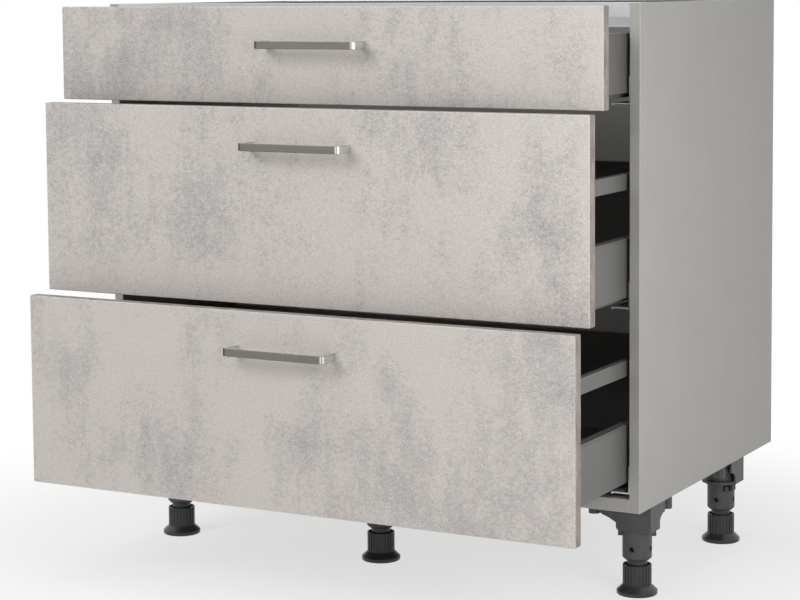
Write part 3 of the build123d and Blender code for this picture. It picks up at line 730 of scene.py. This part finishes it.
# The runners' ends that look to the front, behind their front ends, get painted shade.
RUNNER_STEEL = ZincPlate(
    "zinc-plated runner steel",
    "#e2e3e3",
    roughness=0.26,
    metallic=0.5,
    dull_colour="#d4d5d6",
    along=(1.0, 0.02, 1.0),
    painted_end_shade=0.2,
    shaded_ends_from=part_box("runner_cabinet_top")[0][1] + SHADED_ENDS_BEHIND,
)
RAIL_STEEL = ZincPlate(
    "zinc-plated rail sheet", "#c0c0bf", metallic=0.7, dull_colour="#b2b3b4", along=(0.02, 1.0, 1.0)
)
DIE_CAST_ZINC = ZincPlate("die-cast zinc", "#a9aaab", metallic=1.0)
SCREW_STEEL = ZincPlate(
    "zinc-plated screw steel", "#c9c8c4", roughness=0.3, metallic=1.0, dull_colour="#adaca8"
)
HANDLE_NICKEL = BrushedNickel("brushed nickel", "#6d6a64", roughness=0.24, metallic=1.0)
LEG_PLASTIC = MouldedPlastic("moulded polypropylene anthracite", "#4a4a4b", roughness=0.46)
FOOT_PLASTIC = MouldedPlastic(
    "moulded polypropylene black", "#363637", roughness=0.3, worn_colour="#3f3f41"
)
BEECH_WOOD = Beech("turned beech", "#d3b083", roughness=0.6)


# --- Reading the frame
def dress(node: str, material: bpy.types.Material) -> None:
    """Give a carried-over node its finished material.

    Args:
        node: Name of the node.
        material: Its material.
    """
    piece = frame["nodes"][node]
    piece.data.materials.clear()
    piece.data.materials.append(material)
    log.info("dressed %s in %s", node, material.name)


def body_of(node: str) -> str:
    """Name of the body that a node belongs to."""
    bodies = frame["record"]["behaviour"]["bodies"]
    return next(body for body, nodes in bodies.items() if node in nodes)


def solids_of(node: str) -> list[list[Vector]]:
    """Split a node's mesh into its separate solids.

    Args:
        node: Name of the node.

    Returns:
        The corner points of each solid.
    """
    mesh = bmesh.new()
    mesh.from_mesh(frame["nodes"][node].data)
    bmesh.ops.remove_doubles(mesh, verts=mesh.verts, dist=WELD)
    solids = []
    seen = set()
    for start in mesh.verts:
        if start in seen:
            continue
        seen.add(start)
        reached = [start]
        for vertex in reached:
            for edge in vertex.link_edges:
                other = edge.other_vert(vertex)
                if other not in seen:
                    seen.add(other)
                    reached.append(other)
        solids.append([vertex.co.copy() for vertex in reached])
    mesh.free()
    return solids


# --- Screws
def lifted(tree: Tree, mesh: Node, height: Socket) -> Socket:
    """Lift what a mesh node draws.

    Args:
        tree: Tree that gets the nodes.
        mesh: The mesh node.
        height: How far it is lifted.

    Returns:
        The lifted mesh.
    """
    place = add_node(tree, "ShaderNodeCombineXYZ", {"Z": height}).outputs[0]
    inputs = {"Geometry": mesh.outputs["Mesh"], "Translation": place}
    return add_node(tree, "GeometryNodeTransform", inputs).outputs["Geometry"]


def combined(tree: Tree, operation: str, meshes: list[Socket], inputs: dict | None = None) -> Socket:
    """Join meshes to one solid, or cut them out of another.

    Args:
        tree: Tree that gets the node.
        operation: UNION or DIFFERENCE.
        meshes: The meshes.
        inputs: On a difference, what they are cut out of.

    Returns:
        The new mesh.
    """
    node = add_node(tree, "GeometryNodeMeshBoolean", inputs, operation=operation, solver="EXACT")
    for mesh in meshes:
        tree.links.new(mesh, node.inputs["Mesh 2"])
    return node.outputs["Mesh"]


def plain_piece(piece: bpy.types.Object) -> None:
    """Turn a piece's modifiers into a plain mesh.

    Args:
        piece: Piece whose modifiers are applied and removed.
    """
    evaluated = piece.evaluated_get(bpy.context.evaluated_depsgraph_get())
    mesh = bpy.data.meshes.new_from_object(evaluated)
    piece.modifiers.clear()
    piece.data = mesh


class Drive(Enum):
    """Shape of a screw head: how far its top is domed, as a share of its height."""

    PAN = 0.45
    EURO = 0.2
    FLAT = 0.3


@dataclass
class ScrewSet:
    """The screws of one node, each with a domed head and a cross-shaped drive.

    Attributes:
        node: Node whose solids give each screw's place and size.
        drive: Shape of the head.
        sides: Number of sides of a head. A shank has half of them.
        rim_share: Share of the head's radius past which a point lies on its rim.
        crown_share: Radius of the dome's flat top as a share of the head's.
        slot_share: Width of the cross's arms as a share of the head's radius.
        arm_share: Length of a whole arm as a share of the head's radius.
        cut_share: Height of the cross as a share of the head's, half of it above the head.
        head_radius: Radius of the head, read from the node.
        head_height: Height of the head, read from the node.
        shank_radius: Radius of the shank, read from the node.
        length: Length below the head, read from the node.
    """

    node: str
    drive: Drive
    sides: int = 24
    rim_share: float = 0.9
    crown_share: float = 0.72
    slot_share: float = 0.26
    arm_share: float = 1.25
    cut_share: float = 1.2
    head_radius: float = field(init=False, default=0.0)
    head_height: float = field(init=False, default=0.0)
    shank_radius: float = field(init=False, default=0.0)
    length: float = field(init=False, default=0.0)

    def measure(self) -> list[tuple[Vector, Vector]]:
        """Read the screws from the node's solids.

        Returns:
            For each screw, the middle of its head's seat and the direction that its head looks in.
        """
        places = []
        for points in solids_of(self.node):
            low = Vector(map(min, *points))
            high = Vector(map(max, *points))
            size = high - low
            axis = max(range(3), key=lambda index: size[index])
            first, second = (index for index in range(3) if index != axis)
            centre = (low + high) / 2
            self.head_radius = size[first] / 2
            rings = [(math.hypot((p - centre)[first], (p - centre)[second]), p[axis]) for p in points]
            rim = [place for radius, place in rings if radius > self.head_radius * self.rim_share]
            start, end = min(rim), max(rim)
            self.shank_radius = max(
                radius for radius, place in rings if place < start - HAIR or place > end + HAIR
            )
            self.head_height = end - start
            self.length = size[axis] - self.head_height
            looks_up = abs(end - high[axis]) < NEAR
            seat = centre.copy()
            seat[axis] = start if looks_up else end
            way = Vector((0.0, 0.0, 0.0))
            way[axis] = 1.0 if looks_up else -1.0
            places.append((seat, way))
        return places

    def blank(self, tree: Tree, given: dict[str, Socket]) -> list[Socket]:
        """Draw a screw without its drive, head up, with the head's seat at zero.

        Args:
            tree: Tree that gets the nodes.
            given: The group's inputs by name.

        Returns:
            The head's skirt, its crown and the shank.
        """
        dome = calculate(tree, "MULTIPLY", given["Head height"], given["Dome"])
        skirt_height = calculate(tree, "SUBTRACT", given["Head height"], dome)
        skirt = add_node(
            tree,
            "GeometryNodeMeshCylinder",
            {"Vertices": self.sides, "Radius": given["Head radius"], "Depth": skirt_height},
        )
        top_radius = calculate(tree, "MULTIPLY", given["Head radius"], self.crown_share)
        rounds = {"Radius Top": top_radius, "Radius Bottom": given["Head radius"]}
        crown = add_node(
            tree, "GeometryNodeMeshCone", {"Vertices": self.sides, **rounds, "Depth": dome}
        )
        shank = add_node(
            tree,
            "GeometryNodeMeshCylinder",
            {"Vertices": self.sides // 2, "Radius": given["Shank radius"], "Depth": given["Length"]},
        )
        return [
            lifted(tree, skirt, calculate(tree, "MULTIPLY", skirt_height, 0.5)),
            lifted(tree, crown, skirt_height),
            lifted(tree, shank, calculate(tree, "MULTIPLY", given["Length"], -0.5)),
        ]

    def cross(self, tree: Tree, given: dict[str, Socket]) -> list[Socket]:
        """Draw the two arms of the drive, with their middle at the head's top.

        Args:
            tree: Tree that gets the nodes.
            given: The group's inputs by name.

        Returns:
            The two arms.
        """
        length = calculate(tree, "MULTIPLY", given["Head radius"], self.arm_share)
        width = calculate(tree, "MULTIPLY", given["Head radius"], given["Slot"])
        depth = calculate(tree, "MULTIPLY", given["Head height"], self.cut_share)
        arms = []
        for along, across in ((length, width), (width, length)):
            size = add_node(tree, "ShaderNodeCombineXYZ", {"X": along, "Y": across, "Z": depth})
            arm = add_node(tree, "GeometryNodeMeshCube", {"Size": size.outputs[0]})
            arms.append(lifted(tree, arm, given["Head height"]))
        return arms

    def tree(self, material: bpy.types.Material) -> Tree:
        """Build the node group that puts one screw on each point.

        Args:
            material: Material of the screws.

        Returns:
            The group, with named inputs for the screw's sizes.
        """
        tree = bpy.data.node_groups.new("screws on points", "GeometryNodeTree")
        tree.interface.new_socket("Geometry", in_out="INPUT", socket_type="NodeSocketGeometry")
        for name in ("Head radius", "Head height", "Shank radius", "Length", "Dome", "Slot"):
            tree.interface.new_socket(name, in_out="INPUT", socket_type="NodeSocketFloat")
        tree.interface.new_socket("Geometry", in_out="OUTPUT", socket_type="NodeSocketGeometry")
        given = {socket.name: socket for socket in add_node(tree, "NodeGroupInput").outputs}
        blank = combined(tree, "UNION", self.blank(tree, given))
        screw = combined(tree, "DIFFERENCE", self.cross(tree, given), {"Mesh 1": blank})
        way = add_node(
            tree, "GeometryNodeInputNamedAttribute", {"Name": "way"}, data_type="FLOAT_VECTOR"
        ).outputs["Attribute"]
        turn = add_node(tree, "FunctionNodeAlignRotationToVector", {"Vector": way}, axis="Z")
        inputs = {
            "Points": given["Geometry"],
            "Instance": screw,
            "Rotation": turn.outputs["Rotation"],
        }
        placed = add_node(tree, "GeometryNodeInstanceOnPoints", inputs).outputs["Instances"]
        real = add_node(tree, "GeometryNodeRealizeInstances", {"Geometry": placed}).outputs["Geometry"]
        painted = add_node(tree, "GeometryNodeSetMaterial", {"Geometry": real, "Material": material})
        add_node(tree, "NodeGroupOutput", {"Geometry": painted.outputs["Geometry"]})
        return tree

    def build(self, material: bpy.types.Material) -> None:
        """Make the screws as one plain mesh in place of the node's plain pins.

        Args:
            material: Material of the screws.
        """
        places = self.measure()
        mesh = bpy.data.meshes.new(f"{self.node}_seats")
        mesh.from_pydata([seat for seat, _ in places], [], [])
        way = mesh.attributes.new("way", "FLOAT_VECTOR", "POINT")
        way.data.foreach_set("vector", [value for _, look in places for value in look])
        piece = bpy.data.objects.new(f"{self.node}_detailed", mesh)
        bpy.context.scene.collection.objects.link(piece)
        modifier = piece.modifiers.new("screws", "NODES")
        modifier.node_group = self.tree(material)
        sizes = {
            "Head radius": self.head_radius,
            "Head height": self.head_height,
            "Shank radius": self.shank_radius,
            "Length": self.length,
            "Dome": self.drive.value,
            "Slot": self.slot_share,
        }
        for socket in modifier.node_group.interface.items_tree:
            if socket.name in sizes:
                modifier[socket.identifier] = sizes[socket.name]
        plain_piece(piece)
        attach(piece, body_of(self.node))
        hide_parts(self.node)
        log.info("made %d screws for %s", len(places), self.node)


# --- Sub-assemblies
@dataclass
class Carcass:
    """Boards, back, rails, dowels and cam fittings.

    Attributes:
        boards: Nodes of the boards.
        rails: Nodes of the rails.
    """

    boards: tuple[str, ...] = ("side_panel_left", "side_panel_right", "bottom_panel")
    rails: tuple[str, ...] = ("front_rail", "rear_rail")

    def build(self) -> None:
        """Dress the carcass."""
        board = CARCASS_BOARD.material()
        for node in self.boards:
            dress(node, board)
        dress("back_panel", BACK_BOARD.material())
        rail = RAIL_STEEL.material()
        for node in self.rails:
            dress(node, rail)
        dress("dowels", BEECH_WOOD.material())
        dress("cam_fittings", DIE_CAST_ZINC.material())


@dataclass
class Fronts:
    """Front boards and their bow handles."""

    def build(self) -> None:
        """Dress the fronts, each with its own stretch of the print by its height, and the handles."""
        decor = CONCRETE_BOARD.material()
        nickel = HANDLE_NICKEL.material()
        for level in LEVELS:
            dress(f"front_{level}", decor)
            dress(f"handle_{level}", nickel)


@dataclass
class DrawerBoxes:
    """Steel sides, railings, boards and brackets of the drawers."""

    def build(self) -> None:
        """Dress the drawer boxes."""
        steel = DRAWER_STEEL.material()
        board = DRAWER_BOARD.material()
        zinc = DIE_CAST_ZINC.material()
        for level in LEVELS:
            for side in SIDES:
                dress(f"drawer_side_{side}_{level}", steel)
                if level in DEEP_LEVELS:
                    dress(f"railing_{side}_{level}", steel)
            dress(f"drawer_base_{level}", board)
            dress(f"rear_wall_{level}", board)
            dress(f"front_brackets_{level}", zinc)


@dataclass
class Runners:
    """The three nested members of each pair of runners.

    Attributes:
        members: The members, from the carcass to the drawer.
    """

    members: tuple[str, ...] = ("cabinet", "middle", "drawer")

    def build(self) -> None:
        """Dress the runners."""
        steel = RUNNER_STEEL.material()
        for level in LEVELS:
            for member in self.members:
                dress(f"runner_{member}_{level}", steel)


@dataclass
class Legs:
    """Brackets, sleeves and levelling feet.

    Attributes:
        rows: The rows that the legs stand in.
    """

    rows: tuple[str, ...] = ("front", "rear")

    def build(self) -> None:
        """Dress the legs."""
        plastic = LEG_PLASTIC.material()
        dark_plastic = FOOT_PLASTIC.material()
        dress("leg_brackets_middle", plastic)
        dress("leg_sleeves", plastic)
        for row in self.rows:
            dress(f"foot_{row}_middle", dark_plastic)
            for side in SIDES:
                dress(f"leg_bracket_{row}_{side}", plastic)
                dress(f"foot_{row}_{side}", dark_plastic)


@dataclass
class Screws:
    """All screws, with their drives."""

    def build(self) -> None:
        """Make each node's screws."""
        steel = SCREW_STEEL.material()
        for level in LEVELS:
            ScrewSet(f"handle_screws_{level}", Drive.PAN).build(steel)
        ScrewSet("runner_screws", Drive.EURO).build(steel)
        ScrewSet("rail_screws", Drive.FLAT).build(steel)
        ScrewSet("leg_screws", Drive.PAN).build(steel)


# --- Studio
@dataclass(frozen=True)
class Lamp:
    """A soft square lamp that the camera doesn't see.

    Attributes:
        name: Name of the lamp.
        place: Where it hangs.
        size: Side of its square.
        power: Power in watts.
        aim: Point that it lights, or None for the cabinet's middle.
    """

    name: str
    place: Triple
    size: float
    power: float
    aim: Triple | None = None

    def hang(self, middle: Vector) -> None:
        """Add the lamp to the scene.

        Args:
            middle: The cabinet's middle.
        """
        data = bpy.data.lights.new(self.name, "AREA")
        data.shape = "SQUARE"
        data.size = self.size
        data.energy = self.power
        lamp = bpy.data.objects.new(self.name, data)
        lamp.location = self.place
        lamp.rotation_mode = "QUATERNION"
        look = Vector(self.aim or middle) - Vector(self.place)
        lamp.rotation_quaternion = look.to_track_quat("-Z", "Y")
        lamp.visible_camera = False
        bpy.context.scene.collection.objects.link(lamp)


@dataclass
class Studio:
    """Pale floor, white surroundings, soft lamps and the camera.

    Attributes:
        picture_px: Width and height of the picture in pixels.
        sensor_mm: Width of the camera's sensor.
        focal_px: Focal length in pixels of a picture of that width.
        centre_px: The picture's principal point in pixels.
        camera_place: Where the camera stands.
        camera_turn: Its Euler angles in degrees.
        ambient: Light of the surroundings on the object, where one is white.
        floor_half: Half the side of the floor.
        floor_colour: Colour of the floor.
        floor_roughness: Roughness of the floor.
        fade_span: Distances from the cabinet's middle between which the floor turns white to look at.
        least_white: Share of white in the floor below the cabinet, which keeps its shadow soft.
        lamps: The lamps.
    """

    picture_px: Pair = (800.0, 600.0)
    sensor_mm: float = 36.0
    focal_px: float = 2207.84
    centre_px: Pair = (405.304, 171.444)
    camera_place: Triple = (1.622494, -2.847525, 0.89083)
    camera_turn: Triple = (85.2001, 0.4075, 28.4367)
    ambient: float = 0.22
    floor_half: float = 12.0
    floor_colour: str = "#fcfcfb"
    floor_roughness: float = 0.9
    fade_span: Pair = (0.6, 1.15)
    least_white: float = 0.66
    lamps: tuple[Lamp, ...] = (
        Lamp("key", (-1.6, -3.4, 2.6), 2.0, 82.0),
        Lamp("fill right", (1.7, -1.3, 1.1), 0.6, 2.5),
        Lamp("side strip", (1.25, -0.55, 0.75), 0.5, 5.0, aim=(0.45, 0.1, 0.45)),
        Lamp("overhead", (0.0, 0.3, 3.6), 1.8, 31.0),
        Lamp("front top", (0.0, -1.5, 3.4), 1.2, 7.5),
    )

    def camera(self) -> None:
        """Set the camera to the photograph's view."""
        data = bpy.data.cameras.new("camera")
        data.sensor_width = self.sensor_mm
        wide, high = self.picture_px
        data.lens = self.focal_px * self.sensor_mm / wide
        data.shift_x = (wide / 2 - self.centre_px[0]) / wide
        data.shift_y = (self.centre_px[1] - high / 2) / wide
        camera = bpy.data.objects.new("camera", data)
        camera.location = self.camera_place
        camera.rotation_euler = [math.radians(angle) for angle in self.camera_turn]
        bpy.context.scene.collection.objects.link(camera)
        bpy.context.scene.camera = camera

    def white_rays(self, tree: Tree) -> Socket:
        """Share of rays that see the surroundings as white.

        Args:
            tree: Tree that gets the nodes.

        Returns:
            One for camera, glossy and transmission rays, and otherwise zero.
        """
        rays = add_node(tree, "ShaderNodeLightPath").outputs
        seen = calculate(tree, "MAXIMUM", rays["Is Camera Ray"], rays["Is Glossy Ray"])
        return calculate(tree, "MAXIMUM", seen, rays["Is Transmission Ray"])

    def surroundings(self) -> None:
        """Set the world: white to look at, and a softer light on the object."""
        world = bpy.data.worlds.new("studio")
        bpy.context.scene.world = world
        world.use_nodes = True
        tree = world.node_tree
        tree.nodes.clear()
        strength = remap(tree, self.white_rays(tree), WHOLE, (self.ambient, 1.0))
        light = add_node(tree, "ShaderNodeBackground", {"Color": linear(WHITE), "Strength": strength})
        add_node(tree, "ShaderNodeOutputWorld", {"Surface": light.outputs[0]})

    def floor(self, middle: Vector) -> None:
        """Lay the floor: pale, with the object's shadow, fading to white further out.

        Args:
            middle: The cabinet's middle.
        """
        half = self.floor_half
        corners = [(-half, -half, 0), (half, -half, 0), (half, half, 0), (-half, half, 0)]
        mesh = bpy.data.meshes.new("floor")
        mesh.from_pydata(corners, [], [(0, 1, 2, 3)])
        floor = bpy.data.objects.new("floor", mesh)
        bpy.context.scene.collection.objects.link(floor)
        paint = Finish("matt studio paint", self.floor_colour, self.floor_roughness).surface()
        tree = paint.tree
        ends = {0: paint.where, 1: (middle.x, middle.y, 0.0)}
        away = add_node(tree, "ShaderNodeVectorMath", ends, operation="DISTANCE").outputs["Value"]
        far = remap(tree, away, self.fade_span, (self.least_white, 1.0), smooth=True)
        share = calculate(tree, "MULTIPLY", far, self.white_rays(tree))
        white = add_node(tree, "ShaderNodeEmission", {"Color": linear(WHITE), "Strength": 1.0})
        shaders = {0: share, 1: paint.shader.outputs[0], 2: white.outputs[0]}
        both = add_node(tree, "ShaderNodeMixShader", shaders).outputs[0]
        tree.links.new(both, paint.output.inputs["Surface"])
        mesh.materials.append(paint.material)

    def build(self) -> None:
        """Set up the whole studio."""
        middle = (cad_bounds[0] + cad_bounds[1]) / 2
        self.camera()
        self.surroundings()
        self.floor(middle)
        for lamp in self.lamps:
            lamp.hang(middle)
        bpy.context.scene.view_settings.view_transform = "Standard"


def main() -> None:
    """Build every sub-assembly in order."""
    logging.basicConfig(level=logging.INFO, format="%(name)s: %(message)s")
    Studio().build()
    for part in (Carcass(), Fronts(), DrawerBoxes(), Runners(), Legs(), Screws()):
        part.build()
        log.info("finished %s", type(part).__name__)


if __name__ == "__main__":
    main()
